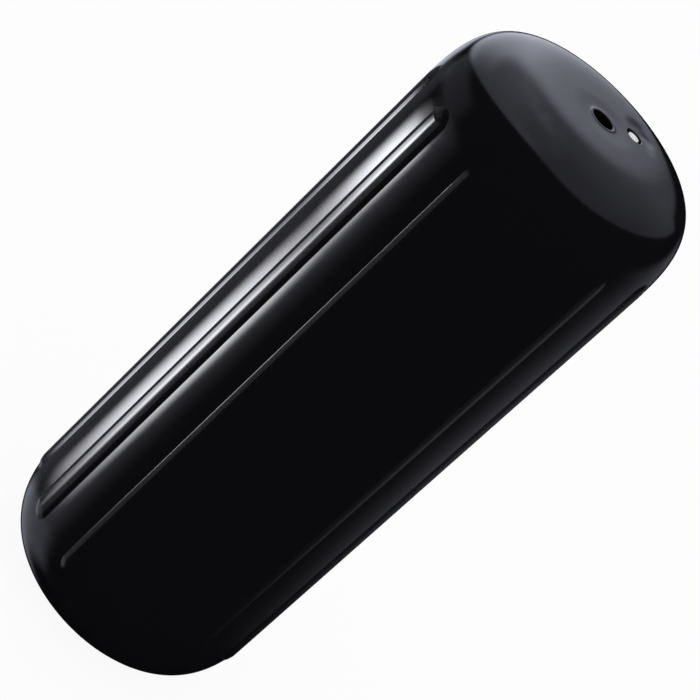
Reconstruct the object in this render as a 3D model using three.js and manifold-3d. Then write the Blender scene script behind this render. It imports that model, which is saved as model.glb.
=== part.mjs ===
// Inflatable boat fender with a rope tube moulded through its middle, standing on one end.
// Millimetres, +Z along the fender, origin at the centre of the end that it stands on.
// The shell is one hollow moulding: ribbed side, dished ends, rope tube and valve boss.
// The valve set is an insert, a seal ring and a slotted screw in the upper end.
import * as THREE from 'three';
import { mergeVertices } from 'three/addons/utils/BufferGeometryUtils.js';
import Module from 'manifold-3d';

// Overall size
const overallLength = 686;
const overallDiameter = 267; // over two opposite ribs

// Ribs on the side
const ribCount = 12;
const ribHeight = 3;
const ribWidth = 23.5;
const ribEndDistance = 60; // from each end of the fender to the nose of a rib

// Ends
const shoulderLength = 84; // along Z, from the crown to the straight side
const shoulderFullness = 2.75; // exponent of the shoulder's superellipse, 2 is a plain ellipse
const crownDiameter = 110; // middle of the flat ring that the end stands on
const crownLand = 6; // width of that ring
const dishDepth = 2; // the end falls from the crown towards the rope tube
const collarDiameter = 38; // thickened pad around the mouth of the rope tube
const collarHeight = 0.8;
const collarEdge = 1.6; // width of the sloping edge of the pad

// Rope tube
const ropeBore = 23;
const mouthRadius = 2;

// Walls
const sideWall = 2.8;
const endWall = 5; // thicker where the rope bears
const tubeWall = 4;
const tubeFillet = 12; // where the tube meets the end, inside the air chamber

// Valve, in the dish of the upper end
const valveOffset = 40; // from the fender's axis, towards +X
const recessDiameter = 16.4;
const recessDepth = 6.6;
const bossDiameter = 27;
const bossDepth = 14; // below the floor of the recess
const insertFlange = 2.4;
const insertDiameter = 12.6;
const insertPastBoss = 3.2; // length of the insert inside the chamber
const edgeChamfer = 1; // on the recess, and on the insert's lower end and barb
const barbDiameter = 14.8;
const clearance = 0.3; // between any two pieces

// Valve screw and its seal
const screwHeadDiameter = 12;
const screwHeadHeight = 2.2;
const screwHeadChamfer = 0.5;
const screwShankDiameter = 7.5;
const screwShankLength = 13;
const screwTip = 1.2;
const slotWidth = 2;
const slotDepth = 1.1;
const slotAngle = -45; // degrees from +X
const sealSection = 1.8; // thickness of the ring

// How finely the round forms are divided
const bodySteps = 60;
const chamberSteps = 24;
const shoulderSteps = 7;
const chamberShoulderSteps = 5;
const ribSteps = 16;
const ribNoseSteps = 3;
const grooveNoseSteps = 2;
const dishSteps = 3;
const mouthSteps = 2;
const filletSteps = 3;
const smallSteps = 24;
const sealSteps = 10;

const bodyRadius = overallDiameter / 2 - ribHeight;
const boreRadius = ropeBore / 2;
const collarRadius = collarDiameter / 2;
const landOuter = (crownDiameter + crownLand) / 2;
const landInner = (crownDiameter - crownLand) / 2;
const degrees = Math.PI / 180;

const wasm = await Module();
wasm.setup();

// Solids

function solidOf(geometry) {
  const bare = geometry.clone();
  for (const name of Object.keys(bare.attributes)) {
    if (name !== 'position') bare.deleteAttribute(name);
  }
  const merged = mergeVertices(bare, 1e-4);
  return new wasm.Manifold(new wasm.Mesh({
    numProp: 3,
    vertProperties: new Float32Array(merged.attributes.position.array),
    triVerts: new Uint32Array(merged.index.array),
  }));
}

function geometryOf(solid) {
  const mesh = solid.getMesh();
  const geometry = new THREE.BufferGeometry();
  geometry.setAttribute('position', new THREE.BufferAttribute(new Float32Array(mesh.vertProperties), 3));
  geometry.setIndex(new THREE.BufferAttribute(new Uint32Array(mesh.triVerts), 1));
  geometry.computeVertexNormals();
  return geometry;
}

// Turns a closed outline of [radius, z] points about the Z axis.
function turned(outline, steps) {
  const points = outline.map(([radius, z]) => new THREE.Vector2(radius, z));
  if (outline[0][0] > 0) points.push(points[0].clone());
  return new THREE.LatheGeometry(points, steps).rotateX(Math.PI / 2);
}

function arc(centreR, centreZ, radius, fromDegrees, toDegrees, steps) {
  return Array.from({ length: steps + 1 }, (_, i) => {
    const angle = (fromDegrees + (toDegrees - fromDegrees) * i / steps) * degrees;
    return [centreR + radius * Math.cos(angle), centreZ + radius * Math.sin(angle)];
  });
}

// Quarter of a superellipse, from the side at the given radius to the crown at height 0.
function shoulder(sideRadius, crownRadius, length, steps) {
  const power = 2 / shoulderFullness;
  return Array.from({ length: steps + 1 }, (_, i) => {
    const angle = (i / steps) * Math.PI / 2;
    const outward = i === steps ? 0 : Math.cos(angle) ** power;
    return [
      crownRadius + (sideRadius - crownRadius) * outward,
      length * (Math.sin(angle) ** power - 1),
    ];
  });
}

// Depth of the dish below the crown at a radius inside the flat ring, without the collar.
function dishAt(radius) {
  const share = Math.min(1, Math.max(0, (landInner - radius) / (landInner - collarRadius)));
  return dishDepth * (1 - Math.cos(Math.PI * share)) / 2;
}

// Outer end from the straight side to the bore, as heights measured from the crown.
function endOutline() {
  const dish = Array.from({ length: dishSteps + 1 }, (_, i) => {
    const radius = landInner + (collarRadius - landInner) * i / dishSteps;
    return [radius, -dishAt(radius)];
  });
  const collarTop = collarHeight - dishDepth;
  return [
    ...shoulder(bodyRadius, landOuter, shoulderLength, shoulderSteps),
    ...dish,
    [collarRadius - collarEdge, collarTop],
    ...arc(boreRadius + mouthRadius, collarTop - mouthRadius, mouthRadius, 90, 180, mouthSteps),
  ];
}

// Air chamber's end from the side to the rope tube, as heights measured from the crown.
function chamberEndOutline() {
  const tubeRadius = boreRadius + tubeWall;
  const filletCentre = tubeRadius + tubeFillet;
  const roof = -endWall - dishDepth / 2;
  return [
    ...shoulder(bodyRadius - sideWall, landOuter, shoulderLength - endWall, chamberShoulderSteps)
      .map(([radius, z]) => [radius, z - endWall]),
    [landInner, -endWall],
    [(landInner + filletCentre) / 2, roof],
    ...arc(filletCentre, -endWall - dishDepth - tubeFillet, tubeFillet, 90, 180, filletSteps),
  ];
}

// Mirrors an upper end about the fender's middle and closes the outline.
function wholeOutline(end) {
  const upper = end.map(([radius, z]) => [radius, overallLength + z]);
  const lower = end.map(([radius, z]) => [radius, -z]).reverse();
  return [...lower, ...upper];
}

// A straight bar with rounded back and rounded noses, lying half sunk along Z.
function rib(width, height, endDistance, steps, noseSteps) {
  const half = width / 2;
  const length = overallLength - 2 * endDistance;
  const capsule = new THREE.CapsuleGeometry(half, length - width, noseSteps, steps);
  capsule.rotateX(Math.PI / 2);
  return solidOf(capsule.scale(height / half, 1, 1));
}

function aroundSide(bar, radius) {
  return Array.from({ length: ribCount }, (_, i) => bar
    .translate([radius, 0, overallLength / 2])
    .rotate([0, 0, i * 360 / ribCount]));
}

function atValve(solid) {
  return solid.translate([valveOffset, 0, recessFloor]);
}

// Sizes that the valve pieces share, measured up from the floor of the recess
const recessFloor = overallLength - dishAt(valveOffset) - recessDepth;
const insertRadius = insertDiameter / 2;
const holeRadius = insertRadius + clearance;
const flangeTop = clearance + insertFlange;
const headBottom = flangeTop + clearance;
const shankRadius = screwShankDiameter / 2;
const sealInner = shankRadius + clearance;
const sealOuter = sealInner + sealSection;
const seatFloor = headBottom - sealSection - 2 * clearance;
const insertBottom = -bossDepth - insertPastBoss;

// Shell

function makeShell() {
  const skin = solidOf(turned(wholeOutline(endOutline()), bodySteps));
  const ribs = aroundSide(rib(ribWidth, ribHeight, ribEndDistance, ribSteps, ribNoseSteps), bodyRadius);
  const outside = wasm.Manifold.union([skin, ...ribs]);

  const chamber = solidOf(turned(wholeOutline(chamberEndOutline()), chamberSteps));
  const grooveWidth = ribWidth - 2 * sideWall;
  const groove = rib(grooveWidth, ribHeight, ribEndDistance + sideWall, ribSteps / 2, grooveNoseSteps);
  const grooves = aroundSide(groove, bodyRadius - sideWall);
  const boss = atValve(solidOf(turned([
    [0, -bossDepth],
    [bossDiameter / 2 - mouthRadius, -bossDepth],
    [bossDiameter / 2, -bossDepth + mouthRadius],
    [bossDiameter / 2, recessDepth],
    [0, recessDepth],
  ], smallSteps)));
  const inside = wasm.Manifold.union([chamber, ...grooves]).subtract(boss);

  const valveCut = atValve(solidOf(turned([
    [0, -bossDepth - endWall],
    [holeRadius, -bossDepth - endWall],
    [holeRadius, 0],
    [recessDiameter / 2, 0],
    [recessDiameter / 2, recessDepth - edgeChamfer],
    [recessDiameter / 2 + edgeChamfer, recessDepth],
    [recessDiameter / 2 + edgeChamfer, recessDepth + dishDepth],
    [0, recessDepth + dishDepth],
  ], smallSteps)));
  return outside.subtract(inside).subtract(valveCut);
}

// Valve pieces

function makeInsert() {
  const flangeRadius = recessDiameter / 2 - clearance;
  return atValve(solidOf(turned([
    [sealInner, insertBottom],
    [insertRadius - edgeChamfer, insertBottom],
    [barbDiameter / 2, insertBottom + insertPastBoss - edgeChamfer],
    [barbDiameter / 2, -bossDepth - clearance],
    [insertRadius, -bossDepth - clearance],
    [insertRadius, clearance],
    [flangeRadius, clearance],
    [flangeRadius, flangeTop],
    [sealOuter + clearance, flangeTop],
    [sealOuter + clearance, seatFloor],
    [sealInner, seatFloor],
  ], smallSteps)));
}

function makeSeal() {
  const middle = (sealInner + sealOuter) / 2;
  const section = arc(middle, seatFloor + clearance + sealSection / 2, sealSection / 2, 0, 360, sealSteps);
  return atValve(solidOf(turned(section.slice(0, -1), smallSteps)));
}

function makeScrew() {
  const headRadius = screwHeadDiameter / 2;
  const headTop = headBottom + screwHeadHeight;
  const shankBottom = headBottom - screwShankLength;
  const blank = solidOf(turned([
    [0, shankBottom],
    [shankRadius - screwTip, shankBottom],
    [shankRadius, shankBottom + screwTip],
    [shankRadius, headBottom],
    [headRadius, headBottom],
    [headRadius, headTop - screwHeadChamfer],
    [headRadius - screwHeadChamfer, headTop],
    [0, headTop],
  ], smallSteps));
  const slot = solidOf(new THREE.BoxGeometry(screwHeadDiameter * 2, slotWidth, slotDepth * 2))
    .rotate([0, 0, slotAngle])
    .translate([0, 0, headTop]);
  return atValve(blank.subtract(slot));
}

// Scene graph

const blackVinyl = { color: 0x0b0c0f, roughness: 0.16, metalness: 0 };
const blackNylon = { color: 0x0d0d10, roughness: 0.4, metalness: 0 };
const blackRubber = { color: 0x101010, roughness: 0.75, metalness: 0 };
const whiteNylon = { color: 0xf0f0ee, roughness: 0.35, metalness: 0 };

const fender = new THREE.Group();
const pieces = [
  ['fender_body', makeShell(), blackVinyl],
  ['valve_body', makeInsert(), blackNylon],
  ['valve_seal', makeSeal(), blackRubber],
  ['valve_screw', makeScrew(), whiteNylon],
];
for (const [name, solid, finish] of pieces) {
  const mesh = new THREE.Mesh(geometryOf(solid), new THREE.MeshStandardMaterial(finish));
  mesh.name = name;
  fender.add(mesh);
}

export default fender;
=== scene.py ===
import math

import bpy
from mathutils import Matrix, Vector


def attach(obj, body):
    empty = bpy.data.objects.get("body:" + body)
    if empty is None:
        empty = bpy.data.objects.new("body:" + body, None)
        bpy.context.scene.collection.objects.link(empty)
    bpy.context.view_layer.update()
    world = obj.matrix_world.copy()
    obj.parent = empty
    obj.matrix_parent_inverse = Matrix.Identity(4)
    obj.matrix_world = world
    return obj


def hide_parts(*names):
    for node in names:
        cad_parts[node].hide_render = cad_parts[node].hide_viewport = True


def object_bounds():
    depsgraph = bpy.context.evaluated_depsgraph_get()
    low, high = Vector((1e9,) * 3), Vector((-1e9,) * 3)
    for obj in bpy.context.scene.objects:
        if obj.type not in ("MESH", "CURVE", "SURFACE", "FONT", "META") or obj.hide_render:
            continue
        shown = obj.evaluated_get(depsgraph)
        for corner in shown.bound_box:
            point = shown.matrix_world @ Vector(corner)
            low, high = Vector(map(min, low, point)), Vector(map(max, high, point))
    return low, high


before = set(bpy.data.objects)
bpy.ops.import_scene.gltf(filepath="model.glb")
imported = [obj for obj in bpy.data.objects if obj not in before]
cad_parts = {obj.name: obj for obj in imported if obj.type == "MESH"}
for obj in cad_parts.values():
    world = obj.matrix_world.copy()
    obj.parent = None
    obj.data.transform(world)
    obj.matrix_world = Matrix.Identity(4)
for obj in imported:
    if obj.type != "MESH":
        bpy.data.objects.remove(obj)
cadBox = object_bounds()
mm = 0.001


def report(stage):
    print("fender:", stage)


class Wire:
    # an output socket that can be added, multiplied and so on
    def __init__(self, tree, socket=None):
        self.tree = tree
        self.socket = socket

    def node(self, kind, settings=None, values=None, out=0):
        made = self.tree.nodes.new(kind)
        for name, value in (settings or {}).items():
            setattr(made, name, value)
        for name, value in (values or {}).items():
            if isinstance(value, Wire):
                self.tree.links.new(value.socket, made.inputs[name])
            else:
                made.inputs[name].default_value = value
        return Wire(self.tree, made.outputs[out])

    def maths(self, operation, *others):
        values = {i: one for i, one in enumerate(others)}
        return self.node("ShaderNodeMath", {"operation": operation}, values)

    def __add__(self, other): return self.maths("ADD", self, other)
    def __radd__(self, other): return self.maths("ADD", other, self)
    def __sub__(self, other): return self.maths("SUBTRACT", self, other)
    def __rsub__(self, other): return self.maths("SUBTRACT", other, self)
    def __mul__(self, other): return self.maths("MULTIPLY", self, other)
    def __rmul__(self, other): return self.maths("MULTIPLY", other, self)
    def __neg__(self): return self.maths("MULTIPLY", self, -1.0)

    def between(self, low, high, toLow=0.0, toHigh=1.0):
        # soft step from toLow at low to toHigh at high
        return self.node("ShaderNodeMapRange", {"interpolation_type": "SMOOTHSTEP"}, {
            "Value": self, "From Min": low, "From Max": high, "To Min": toLow, "To Max": toHigh})


def newMaterial(name):
    material = bpy.data.materials.new(name)
    material.use_nodes = True
    shader = material.node_tree.nodes["Principled BSDF"]
    return material, shader, Wire(material.node_tree)


def plug(shader, name, value):
    if isinstance(value, Wire):
        value.tree.links.new(value.socket, shader.inputs[name])
    else:
        shader.inputs[name].default_value = value


view = {
    "turn": -44.8,        # degrees from the picture's own axes to the fender's
    "elevation": 27.1,
    "roll": -46.8,
    "distance": 2.333,
    "shiftRight": -0.01023,
    "shiftUp": -0.0160,
    "focalPixels": 2600,
    "pictureWidth": 700,
    "sensor": 36,
    "farthest": 50,
}


def makeCamera():
    low, high = cadBox
    middle = (low + high) / 2
    turn, lift, roll = (math.radians(view[k]) for k in ("turn", "elevation", "roll"))
    spin = Matrix.Rotation(turn, 3, "Z")
    right = spin @ Vector((1, 0, 0))
    up = spin @ Vector((0, math.sin(lift), math.cos(lift)))
    back = spin @ Vector((0, -math.cos(lift), math.sin(lift)))
    across = right * math.cos(roll) - up * math.sin(roll)
    upward = right * math.sin(roll) + up * math.cos(roll)
    place = middle + back * view["distance"] - across * view["shiftRight"] - upward * view["shiftUp"]
    data = bpy.data.cameras.new("camera")
    data.sensor_width = view["sensor"]
    data.lens = view["focalPixels"] / view["pictureWidth"] * view["sensor"]
    data.clip_end = view["farthest"]
    camera = bpy.data.objects.new("camera", data)
    bpy.context.scene.collection.objects.link(camera)
    axes = Matrix((across, upward, back)).transposed().to_4x4()
    camera.matrix_world = Matrix.Translation(place) @ axes
    bpy.context.scene.camera = camera


makeCamera()
report("camera placed")


skin = {
    "length": 686,
    "bodyRadius": 131.0,
    "ribCount": 12,
    "ribHeight": 2.5,
    "ribHalfWidth": 12.8,
    "ribEnd": 60,            # from the fender's end to the nose of a rib
    "crestWidth": 1.3,       # how far the rounding of the crest reaches before the flank runs straight
    "flankBreaks": ((7.4, 1.5), (12.4, 0.15)),    # where the flank grows steeper: distance and height
    "crestColumns": (0, 0.5, 1, 1.5, 2, 2.6, 3.4, 4.6, 6, 7, 7.4, 7.8, 8.8, 10, 11.2),
    "creaseColumns": (-0.6, -0.4, -0.25, -0.1, 0.1, 0.35, 0.7),
    "calmEdge": 14.4,        # beyond this distance from a rib's middle line the wall is plain
    "wallColumns": 6,        # from there to halfway between two ribs
    "noseRays": 24,
    "cornerRay": 5,          # the ray that meets the corner of the nose patch
    "wallRows": 14,
    "shoulderLength": 100,
    "shoulderFullness": 3.4,
    "landOuter": 40,
    "landInner": 36,
    "dishDepth": 0.5,
    "padRadius": 14.6,
    "padHeight": 0.35,
    "padEdge": 1.0,
    "boreRadius": 11,
    "mouthRadius": 1.1,
    "shoulderStep": 3.2,
    "dishStep": 2,
    "boreRows": 10,
    "slopeSteps": 800,       # fine steps along the shoulder before its rows are spaced evenly
    "edgeSteps": 5,
    "lipStep": 15,           # degrees
}


def deselectAll():
    if bpy.context.object and bpy.context.object.mode != "OBJECT":
        bpy.ops.object.mode_set(mode="OBJECT")
    bpy.ops.object.select_all(action="DESELECT")


def pick(*things):
    deselectAll()
    for thing in things:
        thing.select_set(True)
    bpy.context.view_layer.objects.active = things[0]


def joined(*things):
    pick(*things)
    bpy.ops.object.join()
    return things[0]


def editing(thing, selection="DESELECT"):
    pick(thing)
    bpy.ops.object.mode_set(mode="EDIT")
    bpy.ops.mesh.select_mode(type="VERT")
    bpy.ops.mesh.select_all(action=selection)


def selectPoints(thing, wanted):
    # wanted(place) says which points are selected
    bpy.ops.mesh.select_all(action="DESELECT")
    bpy.ops.object.mode_set(mode="OBJECT")
    for point in thing.data.vertices:
        point.select = wanted(point.co)
    bpy.ops.object.mode_set(mode="EDIT")


def weld(thing, distance=1e-6):
    editing(thing, "SELECT")
    bpy.ops.mesh.remove_doubles(threshold=distance)
    bpy.ops.mesh.normals_make_consistent(inside=False)
    bpy.ops.object.mode_set(mode="OBJECT")


def gridOf(columns, rows, place):
    # a grid of squares whose points are put where place(column, row) says
    bpy.ops.mesh.primitive_grid_add(x_subdivisions=columns, y_subdivisions=rows, size=2)
    grid = bpy.context.object
    for point in grid.data.vertices:
        column = round((point.co.x + 1) / 2 * columns)
        row = round((point.co.y + 1) / 2 * rows)
        point.co = place(column, row)
    return grid


def evenly(points, step):
    # the same line with its points about one step apart
    lengths = [0]
    for a, b in zip(points, points[1:]):
        lengths.append(lengths[-1] + math.dist(a, b))
    count = max(1, round(lengths[-1] / step))
    made, j = [], 0
    for i in range(count + 1):
        target = lengths[-1] * i / count
        while j < len(lengths) - 2 and lengths[j + 1] < target:
            j += 1
        span = lengths[j + 1] - lengths[j] or 1
        share = (target - lengths[j]) / span
        made.append(tuple(p + (q - p) * share for p, q in zip(points[j], points[j + 1])))
    return made


def radiusAtDepth(depth):
    # the plain wall's radius at a depth below the crown
    s = skin
    if depth >= s["shoulderLength"]:
        return s["bodyRadius"]
    inward = 1 - depth / s["shoulderLength"]
    power = s["shoulderFullness"]
    return s["landOuter"] + (s["bodyRadius"] - s["landOuter"]) * (1 - inward ** power) ** (1 / power)


def flank(distance):
    return math.log(math.cosh(distance / skin["crestWidth"]))


def riseAt(distance):
    # height of a rib over the wall at a distance from the rib's middle line
    s = skin
    (near, nearHeight), (far, farHeight) = s["flankBreaks"]
    if distance <= near:
        return s["ribHeight"] - (s["ribHeight"] - nearHeight) * flank(distance) / flank(near)
    if distance <= far:
        return nearHeight + (farHeight - nearHeight) * (distance - near) / (far - near)
    return max(0.0, farHeight * (s["ribHalfWidth"] - distance) / (s["ribHalfWidth"] - far))


def ribDistances():
    # distances from the middle line at which the wall has a column, up to its plain part
    s = skin
    crease = [s["ribHalfWidth"] + step for step in s["creaseColumns"]]
    return list(s["crestColumns"]) + crease + [s["calmEdge"]]


def skinPoint(across, depth, distance):
    # a point of the side: across is measured round the wall from a rib's middle line
    s = skin
    wall = radiusAtDepth(depth)
    full = s["bodyRadius"] + s["ribHeight"] - wall
    radius = wall + riseAt(distance) / s["ribHeight"] * full
    angle = across / s["bodyRadius"]
    return Vector((radius * math.cos(angle), radius * math.sin(angle), s["length"] / 2 - depth)) * mm


def makeSector():
    s = skin
    near = ribDistances()
    halfSector = math.pi / s["ribCount"] * s["bodyRadius"]
    rays, corner = s["noseRays"], s["cornerRay"]
    # how far the patch goes past the nose's centre
    patch = halfSector * math.tan(math.pi * corner / rays)
    noseDepth = s["ribEnd"] + s["ribHalfWidth"]
    rings = len(near) - 1 + s["wallColumns"]

    def alongRay(ray, ring):
        # place in the unrolled wall, from the centre of the nose
        angle = math.pi * ray / rays
        if ring < len(near):
            return near[ring] * math.cos(angle), near[ring] * math.sin(angle)
        if ray <= corner:
            rim = (halfSector, halfSector * math.tan(angle))
        elif ray >= rays - corner:
            rim = (-halfSector, -halfSector * math.tan(angle))
        else:
            rim = (patch / math.tan(angle), patch)
        share = (ring - len(near) + 1) / s["wallColumns"]
        start = (near[-1] * math.cos(angle), near[-1] * math.sin(angle))
        return tuple(a + (b - a) * share for a, b in zip(start, rim))

    def nosePoint(ray, ring):
        across, ahead = alongRay(ray, ring)
        return skinPoint(across, noseDepth - ahead, math.hypot(across, ahead))

    def wallPoint(column, row):
        ring = column - rings
        across = alongRay(0, abs(ring))[0] * (1 if ring > 0 else -1)
        depth = s["length"] / 2 + (noseDepth - s["length"] / 2) * row / s["wallRows"]
        return skinPoint(across, depth, abs(across))

    nose = gridOf(rays, rings, nosePoint)
    wall = gridOf(2 * rings, s["wallRows"], wallPoint)
    sector = joined(wall, nose)
    sector.name = "fender_skin"
    weld(sector)
    return sector, noseDepth - patch


def endRows(firstDepth):
    # radius and height above the crown of the rows from the nose patch to the rope bore
    s = skin
    slope = [firstDepth * (1 - i / s["slopeSteps"]) ** 2 for i in range(s["slopeSteps"] + 1)]
    shoulder = evenly([(radiusAtDepth(d), -d) for d in slope], s["shoulderStep"])[1:]
    land = evenly([(s["landOuter"], 0), (s["landInner"], 0)], s["dishStep"])[1:]

    def dish(radius):
        share = (s["landInner"] - radius) / (s["landInner"] - s["padRadius"])
        return -s["dishDepth"] * (1 - math.cos(math.pi * share)) / 2
    bowl = [(radius, dish(radius)) for radius, _ in
            evenly([(s["landInner"], 0), (s["padRadius"], 0)], s["dishStep"])[1:]]
    steps = s["edgeSteps"]
    edge = [(s["padRadius"] - s["padEdge"] * i / steps,
             -s["dishDepth"] + s["padHeight"] * (1 - math.cos(math.pi * i / steps)) / 2)
            for i in range(1, steps + 1)]
    padTop = s["padHeight"] - s["dishDepth"]
    mouthCentre = s["boreRadius"] + s["mouthRadius"]
    pad = evenly([(s["padRadius"] - s["padEdge"], padTop), (mouthCentre, padTop)], s["dishStep"])[1:]
    lip = [(mouthCentre - s["mouthRadius"] * math.sin(math.radians(a)),
            padTop - s["mouthRadius"] * (1 - math.cos(math.radians(a))))
           for a in range(s["lipStep"], 91, s["lipStep"])]
    top, bottom = lip[-1][1], -s["length"] / 2
    bore = [(s["boreRadius"], top + (bottom - top) * i / s["boreRows"])
            for i in range(1, s["boreRows"] + 1)]
    return shoulder + land + bowl + edge + pad + lip + bore


def makeSkin():
    s = skin
    sector, firstDepth = makeSector()
    crown = s["length"] / 2
    editing(sector)
    edge = (crown - firstDepth) * mm
    selectPoints(sector, lambda place: abs(place.z - edge) < 1e-5)
    radius, height = radiusAtDepth(firstDepth), -firstDepth
    for nextRadius, nextHeight in endRows(firstDepth):
        bpy.ops.mesh.extrude_region_move(
            TRANSFORM_OT_translate={"value": (0, 0, (nextHeight - height) * mm)})
        grow = nextRadius / radius
        bpy.ops.transform.resize(value=(grow, grow, 1), center_override=(0, 0, 0))
        radius, height = nextRadius, nextHeight
    bpy.ops.object.mode_set(mode="OBJECT")

    mirror = sector.modifiers.new("otherEnd", "MIRROR")
    mirror.use_axis = (False, False, True)
    mirror.merge_threshold = 1e-5
    pick(sector)
    bpy.ops.object.modifier_apply(modifier=mirror.name)

    editing(sector, "SELECT")
    count = s["ribCount"]
    bpy.ops.mesh.spin(steps=count - 1, dupli=True, angle=2 * math.pi * (count - 1) / count,
                      center=(0, 0, 0), axis=(0, 0, 1))
    bpy.ops.object.mode_set(mode="OBJECT")
    weld(sector, 2e-5)
    sector.data.transform(Matrix.Translation((0, 0, crown * mm)))
    pick(sector)
    bpy.ops.object.shade_smooth()
    return sector


fenderSkin = makeSkin()
report("skin modelled, %d faces" % len(fenderSkin.data.polygons))

# soft dents of the upper end: place, depth and reach
dents = (((51, 15), 1.2, 15), ((55, 3), 1.1, 13), ((53, -9), 0.5, 11), ((-84, -32), 0.35, 9))

valve = {
    "offset": 40,            # from the fender's axis
    "floor": 678.9,          # height of the recess's floor
    "recessRadius": 8.2,
    "recessDepth": 6.6,
    "rimRadius": 0.7,        # rounding of the recess's edge
    "rimSteps": 6,
    "rimStep": 12,           # degrees
    "cutTurn": 0.7,          # degrees that keep the cutter's points off the skin's own edges
    "cutWeld": 1e-5,
    "boreRadius": 6.6,
    "boreDepth": 19,         # below the floor of the recess
    "insertRadius": 6.3,
    "flangeRadius": 7.9,
    "flangeBottom": 0.3,
    "flangeTop": 2.7,
    "insertDepth": 17.2,
    "barbRadius": 7.4,
    "barbLength": 3.2,
    "insertRound": 0.25,
    "throat": 4.05,
    "seatRadius": 6.15,
    "seatFloor": 0.6,
    "sealRadius": 4.95,
    "sealThickness": 0.9,
    "sealSegments": 20,
    "sealGap": 0.3,          # between the ring and the floor of its seat
    "headRadius": 5.7,
    "headBottom": 3.4,
    "headTop": 5.8,
    "shankRadius": 3.3,
    "shankBottom": -10,
    "shankPoint": 1.2,
    "threadHeight": 0.45,
    "threadPitch": 1.5,
    "threadTurns": 7,
    "slotWidth": 2,
    "slotDepth": 1.1,
    "slotTurn": -45,
    "screwRound": 0.35,
    "segments": 64,
}


def turnedPiece(name, outline, closed):
    # a circle carried along an outline of (radius, height) points, then capped or closed on itself
    radius, height = outline[0]
    deselectAll()
    bpy.ops.mesh.primitive_circle_add(
        vertices=valve["segments"], radius=radius * mm, fill_type="NOTHING", location=(0, 0, 0))
    piece = bpy.context.object
    piece.name = name
    editing(piece, "SELECT")
    bpy.ops.transform.translate(value=(0, 0, height * mm))
    if not closed:
        bpy.ops.mesh.edge_face_add()
    for nextRadius, nextHeight in outline[1:] + (outline[:1] if closed else []):
        bpy.ops.mesh.extrude_region_move(
            TRANSFORM_OT_translate={"value": (0, 0, (nextHeight - height) * mm)})
        grow = nextRadius / radius
        bpy.ops.transform.resize(value=(grow, grow, 1), center_override=(0, 0, 0))
        radius, height = nextRadius, nextHeight
    bpy.ops.object.mode_set(mode="OBJECT")
    weld(piece)
    return piece


def cutWith(thing, cutter):
    cut = thing.modifiers.new("cut", "BOOLEAN")
    cut.operation = "DIFFERENCE"
    cut.solver = "EXACT"
    cut.object = cutter
    pick(thing)
    bpy.ops.object.modifier_apply(modifier=cut.name)
    pick(cutter)
    bpy.ops.object.delete()


def roundEdges(thing, width, steps=3, sharpest=35):
    bevel = thing.modifiers.new("edges", "BEVEL")
    bevel.width = width * mm
    bevel.segments = steps
    bevel.limit_method = "ANGLE"
    bevel.angle_limit = math.radians(sharpest)
    pick(thing)
    bpy.ops.object.modifier_apply(modifier=bevel.name)


def smoothed(thing, degrees=40):
    pick(thing)
    bpy.ops.object.shade_smooth_by_angle(angle=math.radians(degrees))


def toValve(thing, height=0.0):
    # moves a piece modelled over the recess's floor to its place in the fender
    pick(thing)
    thing.location = Vector((valve["offset"], 0, valve["floor"] + height)) * mm
    bpy.ops.object.transform_apply(location=True, rotation=True, scale=True)


def dentUpperEnd():
    # the soft end gives a little beside the valve and in the shoulder
    top = (skin["length"] - 12) * mm
    for point in fenderSkin.data.vertices:
        for place, depth, reach in dents:
            away = (point.co.xy - Vector(place) * mm).length / (reach * mm)
            if away < 1 and point.co.z > top:
                point.co.z -= depth * mm * (1 - away ** 2) ** 2


def cutRecess():
    v = valve
    rim = [(v["recessRadius"] + v["rimRadius"] * (1 - math.cos(a)),
            v["recessDepth"] - v["rimRadius"] * (1 - math.sin(a)))
           for a in (math.radians(v["rimStep"] * i) for i in range(v["rimSteps"] + 1))]
    over = [(rim[-1][0] + 0.5, v["recessDepth"] + 0.1), (rim[-1][0] + 0.5, v["recessDepth"] + 5)]
    cutter = turnedPiece("recess", [(v["boreRadius"], -v["boreDepth"]), (v["boreRadius"], 0),
                                    (v["recessRadius"], 0)] + rim + over, closed=False)
    cutter.rotation_euler = (0, 0, math.radians(v["cutTurn"]))
    toValve(cutter)
    cutWith(fenderSkin, cutter)
    weld(fenderSkin, v["cutWeld"])


def makeInsert():
    v = valve
    bottom = -v["insertDepth"]
    insert = turnedPiece("valve_insert", [
        (v["throat"], bottom),
        (v["insertRadius"] - 1, bottom),
        (v["barbRadius"], bottom + v["barbLength"] - 1),
        (v["barbRadius"], bottom + v["barbLength"] - 0.3),
        (v["insertRadius"], bottom + v["barbLength"] - 0.3),
        (v["insertRadius"], v["flangeBottom"]),
        (v["flangeRadius"], v["flangeBottom"]),
        (v["flangeRadius"], v["flangeTop"]),
        (v["seatRadius"], v["flangeTop"]),
        (v["seatRadius"], v["seatFloor"]),
        (v["throat"], v["seatFloor"]),
    ], closed=True)
    roundEdges(insert, v["insertRound"])
    toValve(insert)
    smoothed(insert)
    return insert


def makeSeal():
    v = valve
    deselectAll()
    bpy.ops.mesh.primitive_torus_add(
        major_radius=v["sealRadius"] * mm, minor_radius=v["sealThickness"] * mm,
        major_segments=v["segments"], minor_segments=v["sealSegments"])
    seal = bpy.context.object
    seal.name = "valve_ring"
    toValve(seal, v["seatFloor"] + v["sealGap"] + v["sealThickness"])
    pick(seal)
    bpy.ops.object.shade_smooth()
    return seal


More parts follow.
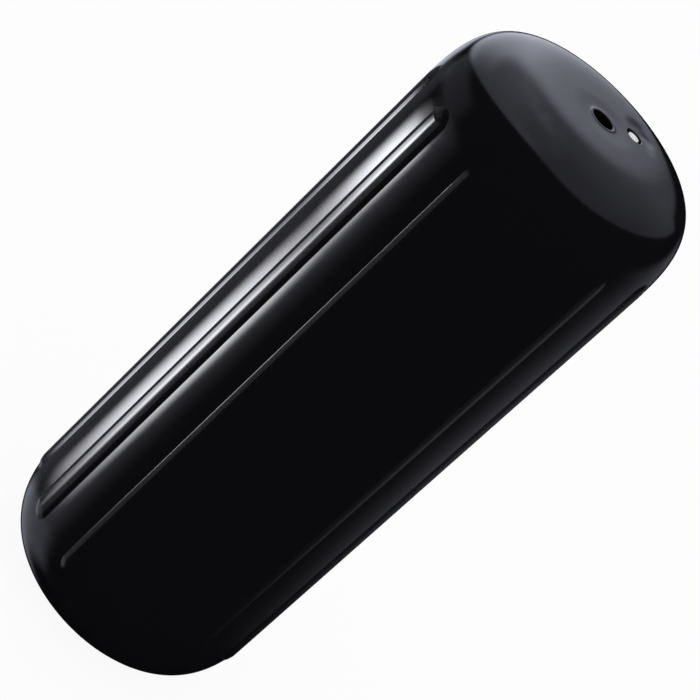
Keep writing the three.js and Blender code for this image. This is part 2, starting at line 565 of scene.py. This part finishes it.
def makeThread():
    v = valve
    height, half = v["threadHeight"] + 0.2, v["threadPitch"] * 0.42
    start = v["shankBottom"] + v["shankPoint"] + 0.4
    bpy.ops.mesh.primitive_circle_add(vertices=3, radius=mm)
    thread = bpy.context.object
    corners = ((v["shankRadius"] - 0.2, start), (v["shankRadius"] - 0.2, start + 2 * half),
               (v["shankRadius"] - 0.2 + height, start + half))
    for point, (radius, up) in zip(thread.data.vertices, corners):
        point.co = Vector((radius, 0, up)) * mm
    screw = thread.modifiers.new("helix", "SCREW")
    screw.axis = "Z"
    screw.steps = screw.render_steps = 32
    screw.screw_offset = v["threadPitch"] * mm
    screw.iterations = v["threadTurns"]
    pick(thread)
    bpy.ops.object.modifier_apply(modifier=screw.name)
    editing(thread, "DESELECT")
    bpy.ops.mesh.select_non_manifold()
    bpy.ops.mesh.edge_face_add()
    bpy.ops.object.mode_set(mode="OBJECT")
    weld(thread)
    return thread


def makeScrew():
    v = valve
    screw = turnedPiece("slotted_screw", [
        (v["shankRadius"] - v["shankPoint"], v["shankBottom"]),
        (v["shankRadius"], v["shankBottom"] + v["shankPoint"]),
        (v["shankRadius"], v["headBottom"]),
        (v["headRadius"], v["headBottom"]),
        (v["headRadius"], v["headTop"]),
    ], closed=False)
    bpy.ops.mesh.primitive_cube_add(size=1)
    slot = bpy.context.object
    slot.dimensions = Vector((v["headRadius"] * 4, v["slotWidth"], v["slotDepth"] * 2)) * mm
    slot.rotation_euler = (0, 0, math.radians(v["slotTurn"]))
    slot.location = (0, 0, v["headTop"] * mm)
    bpy.ops.object.transform_apply(location=True, rotation=True, scale=True)
    cutWith(screw, slot)
    roundEdges(screw, v["screwRound"])
    screw = joined(screw, makeThread())
    toValve(screw)
    smoothed(screw)
    return screw


dentUpperEnd()
cutRecess()
smoothed(fenderSkin, 50)
valveInsert, valveRing, valveScrew = makeInsert(), makeSeal(), makeScrew()
report("valve modelled")


vinyl = {
    "colour": (0.0042, 0.0039, 0.0049, 1),
    "roughness": 0.115,
    "spread": 0.03,
    "grain": 0.03,
    "grainSize": 700.0,
}

blackNylon = {
    "colour": (0.0045, 0.0045, 0.0052, 1),
    "roughness": 0.32,
    "spread": 0.06,
    "grain": 0.15,
    "grainSize": 2500.0,
}

rubber = {
    "colour": (0.008, 0.008, 0.008, 1),
    "roughness": 0.6,
    "spread": 0.08,
    "grain": 0.2,
    "grainSize": 3000.0,
}

whiteNylon = {
    "colour": (0.90, 0.91, 0.95, 1),
    "roughness": 0.38,
    "spread": 0.05,
    "grain": 0.15,
    "grainSize": 2500.0,
}


def plainFinish(name, colour, roughness, spread, grain, grainSize, ior=1.5):
    # one moulded colour with cloudy roughness and a fine grain; grainSize is the noise's scale
    material, shader, start = newMaterial(name)
    place = start.node("ShaderNodeTexCoord", out=3)
    clouds = start.node("ShaderNodeTexNoise", values={"Vector": place, "Scale": 28.0, "Detail": 3.0})
    fine = start.node("ShaderNodeTexNoise", values={"Vector": place, "Scale": grainSize, "Detail": 2.0})
    plug(shader, "Base Color", colour)
    plug(shader, "Roughness", roughness + (clouds - 0.5) * (2 * spread))
    plug(shader, "IOR", ior)
    bump = start.node("ShaderNodeBump", values={"Strength": grain, "Distance": 0.0002, "Height": fine})
    plug(shader, "Normal", bump)
    return material


def dress(thing, material, node):
    thing.data.materials.clear()
    thing.data.materials.append(material)
    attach(thing, "root")
    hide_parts(node)


dress(fenderSkin, plainFinish("black_vinyl", **vinyl), "fender_body")
dress(valveInsert, plainFinish("black_nylon", **blackNylon), "valve_body")
dress(valveRing, plainFinish("black_rubber", **rubber), "valve_seal")
dress(valveScrew, plainFinish("white_nylon", **whiteNylon), "valve_screw")
report("finishes set")

studio = {
    "ambient": 0.85,
    "dark": 0.003,
    "floorSize": 12,
    "floorGrey": 0.9,
    "floorSeen": 0.93,       # how much of the plain white the camera sees in the floor
    "tint": (0.92, 0.955, 1.13),
    "keyTint": (0.97, 0.98, 1.05),
    # left: degrees round from behind the fender towards the picture's left; up: degrees above level
    # each is where the light starts, is full, stops being full and ends
    "key": [
        {"left": (56, 79, 99, 107), "up": (-34.4, -31.2, -28.2, -25.6), "strength": 9.4},
        {"left": (56, 79, 95, 104), "up": (-25.3, -23.9, -22.9, -21.3), "strength": 17.0},
        {"left": (56, 79, 94, 103), "up": (-33.5, -30.5, -24, -21), "strength": 2.4},
        {"left": (84, 94, 98, 104), "up": (-32.5, -29, -26, -21.5), "strength": 4.0},
    ],
    "panels": [
        {"left": (15, 35, 100, 128), "up": (-68, -52, -41, -36), "strength": 0.5},
        {"left": (20, 40, 52, 60), "up": (-50, -36, -18, -8), "strength": 0.11},
        {"left": (40, 50, 90, 110), "up": (-18, -12, 0, 12), "strength": 0.18},
        {"left": (85, 100, 102, 126), "up": (-42, -34, -18, -10), "strength": 0.33},
        {"left": (-85, -38, -25, -15), "up": (-35, -26, -12, -2), "strength": 0.14},
        {"left": (8, 14, 26, 34), "up": (-36, -30, -14, -8), "strength": 0.9},
    ],
    "ceiling": {
        "edge": (31.9, -29.9, -5.6, -5.6, -11.2),    # height of its lower edge around the set
        "low": 0.10,
        "middle": 0.17,
        "high": 0.10,
        "glow": 0.32,
        "lowGlow": 0.90,
        "gap": 12,       # degrees by which the lower edge is higher just right of the back
        # pairs are where something starts and is full, and fours add its values there
        "middleRise": (5, 32),
        "highRise": (32, 60),
        "glowStart": (-8, 12),
        "glowLean": (20, 36, 0.0, 8.0),
        "glowEnd": (130, 172, 1.0, 0.0),
        "lowGlowUp": (25, 37, 1.0, 0.0),
        "lowGlowLeft": (25, 75, 1.0, 0.0),
        "glowTop": (50, 75, 1.0, 0.35),
        "gapStart": (-32, -20),
        "gapEnd": (-6, 1, 1.0, 0.0),
        "edgeBlur": (-2, 3),
    },
}


def makeWorld():
    world = bpy.data.worlds.new("studio")
    world.use_nodes = True
    tree = world.node_tree
    tree.nodes.clear()
    start = Wire(tree)
    light = start.node("ShaderNodeLightPath")
    isCamera = Wire(tree, light.socket.node.outputs["Is Camera Ray"])
    isGlossy = Wire(tree, light.socket.node.outputs["Is Glossy Ray"])
    isThrough = Wire(tree, light.socket.node.outputs["Is Transmission Ray"])
    ray = start.node("ShaderNodeTexCoord", out=0)
    turned = start.node("ShaderNodeVectorRotate", {"rotation_type": "Z_AXIS"},
                        {"Vector": ray, "Angle": math.radians(-view["turn"])})
    parts = start.node("ShaderNodeSeparateXYZ", values={"Vector": turned})
    x, y, z = (Wire(tree, parts.socket.node.outputs[i]) for i in range(3))
    left = start.maths("ARCTAN2", -x, y) * math.degrees(1)
    up = start.maths("ARCSINE", z) * math.degrees(1)

    def window(box):
        a, b, c, d = box["left"]
        e, f, g, h = box["up"]
        sides = left.between(a, b) * left.between(c, d, 1.0, 0.0)
        return sides * up.between(e, f) * up.between(g, h, 1.0, 0.0) * box["strength"]

    key = 0.0
    for box in studio["key"]:
        key = window(box) + key
    dim = studio["dark"]
    for box in studio["panels"]:
        dim = window(box) + dim

    over = studio["ceiling"]
    bearing = left * math.radians(1)
    c, s = start.maths("COSINE", bearing), start.maths("SINE", bearing)
    level, byCos, bySin, byCosCos, byCosSin = over["edge"]
    edge = level + c * (c * byCosCos + s * byCosSin + byCos) + s * bySin
    middle = up.between(*over["middleRise"]) * over["middle"]
    high = up.between(*over["highRise"]) * over["high"]
    ceiling = middle + high + over["low"]
    lean = up.between(*over["glowLean"])
    towards = (left - lean).between(*over["glowStart"]) * left.between(*over["glowEnd"])
    near = up.between(*over["lowGlowUp"]) * left.between(*over["lowGlowLeft"]) * over["lowGlow"]
    ceiling = ceiling + towards * (near + over["glow"]) * up.between(*over["glowTop"])
    gap = left.between(*over["gapStart"]) * left.between(*over["gapEnd"]) * over["gap"]
    dim = dim + ceiling * (up - edge - gap).between(*over["edgeBlur"])

    mirrored = start.maths("MAXIMUM", isGlossy, isThrough)
    plain = isCamera + (1.0 - isCamera) * (1.0 - mirrored) * studio["ambient"]
    shades = {i: (key * bright + dim * soft) * mirrored + plain
              for i, (bright, soft) in enumerate(zip(studio["keyTint"], studio["tint"]))}
    colour = start.node("ShaderNodeCombineColor", values=shades)
    sky = start.node("ShaderNodeBackground", values={"Color": colour, "Strength": 1.0})
    end = tree.nodes.new("ShaderNodeOutputWorld")
    tree.links.new(sky.socket, end.inputs["Surface"])
    bpy.context.scene.world = world


def makeFloor():
    bpy.ops.mesh.primitive_plane_add(size=studio["floorSize"])
    floor = bpy.context.object
    floor.name = "floor"
    material, shader, start = newMaterial("floor_white")
    grey = studio["floorGrey"]
    plug(shader, "Base Color", (grey, grey, grey, 1))
    plug(shader, "Roughness", 1.0)
    tree = material.node_tree
    isCamera = start.node("ShaderNodeLightPath", out=0)
    white = start.node("ShaderNodeEmission", values={"Color": (1, 1, 1, 1), "Strength": 1.0})
    mix = tree.nodes.new("ShaderNodeMixShader")
    tree.links.new((isCamera * studio["floorSeen"]).socket, mix.inputs[0])
    tree.links.new(shader.outputs[0], mix.inputs[1])
    tree.links.new(white.socket, mix.inputs[2])
    tree.links.new(mix.outputs[0], tree.nodes["Material Output"].inputs["Surface"])
    floor.data.materials.append(material)
    floor.visible_glossy = False


bpy.context.scene.view_settings.view_transform = "Standard"
deselectAll()
makeWorld()
makeFloor()
report("studio lit")
